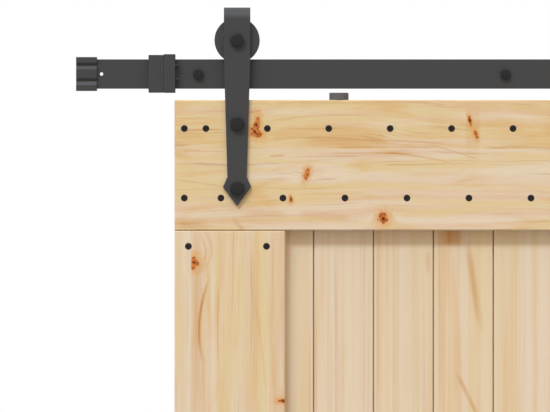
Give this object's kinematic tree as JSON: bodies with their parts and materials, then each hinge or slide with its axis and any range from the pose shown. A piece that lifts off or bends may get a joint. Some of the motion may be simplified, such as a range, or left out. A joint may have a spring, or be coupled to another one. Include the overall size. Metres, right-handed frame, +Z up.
{
  "type": "sliding barn door",
  "caption": "Framed pine barn door leaf on two arrow-shaped strap hangers with grooved wheels, rolling along a flat wall rail with stops, end caps and a floor guide.",
  "frame": {"origin": "axis of the middle wall bolt at the wall face, at the rail's mid height", "axes": "+X along the rail, to the right seen from the room; +Y into the wall; +Z up"},
  "size_m": [2.006, 0.1074, 2.2362],
  "materials": {
    "black_steel": "matt dark grey powder coat",
    "black_bolt": "satin black coated bolt",
    "black_rubber": "matt moulded rubber",
    "black_plastic": "matt moulded plastic",
    "guide_nylon": "smooth nylon",
    "grey_disc": "satin grey",
    "bearing_steel": "ground steel",
    "pine": "planed knotty pine, clear matt finish"
  },
  "bodies": {
    "track": {"rail": "black_steel", "rail_spacers": "black_steel", "wall_bolts": "black_bolt", "stop_clamp_left": "black_steel", "stop_clamp_right": "black_steel", "stop_buffer_left": "black_rubber", "stop_buffer_right": "black_rubber", "end_cap_left": "black_plastic", "end_cap_right": "black_plastic", "floor_guide": "black_steel", "floor_guide_pads": "guide_nylon"},
    "door": {"top_board": "pine", "bottom_board": "pine", "stile_left": "pine", "stile_right": "pine", "edge_strip_left": "pine", "edge_strip_right": "pine", "panel_board_01": "pine", "panel_board_02": "pine", "panel_board_03": "pine", "panel_board_04": "pine", "panel_board_05": "pine", "panel_board_06": "pine", "panel_board_07": "pine", "panel_board_08": "pine", "panel_board_09": "pine", "panel_board_10": "pine", "panel_board_11": "pine", "hanger_strap_left": "black_steel", "hanger_strap_right": "black_steel", "strap_bolts": "black_bolt", "axle_bolts": "black_bolt", "axle_nuts": "black_bolt", "bearing_inner_rings": "bearing_steel", "anti_jump_discs": "grey_disc"},
    "wheel_left": {"wheel_left": "black_steel", "wheel_bearing_left": "bearing_steel"},
    "wheel_right": {"wheel_right": "black_steel", "wheel_bearing_right": "bearing_steel"}
  },
  "joints": [
    {"name": "door_slide", "type": "slide", "parent": "track", "child": "door", "axis": [1, 0, 0], "range_m": [-0.0594, 0.8471]},
    {"name": "wheel_left_spin", "type": "hinge", "parent": "door", "child": "wheel_left", "pos_m": [-0.7837, -0.033, 0.0459], "axis": [0, 1, 0], "continuous": true},
    {"name": "wheel_right_spin", "type": "hinge", "parent": "door", "child": "wheel_right", "pos_m": [-0.0041, -0.033, 0.0459], "axis": [0, 1, 0], "continuous": true}
  ],
  "couplings": [
    {"joint": "wheel_left_spin", "follows": "door_slide", "rad_per_m": 39.062},
    {"joint": "wheel_right_spin", "follows": "door_slide", "rad_per_m": 39.062}
  ]
}
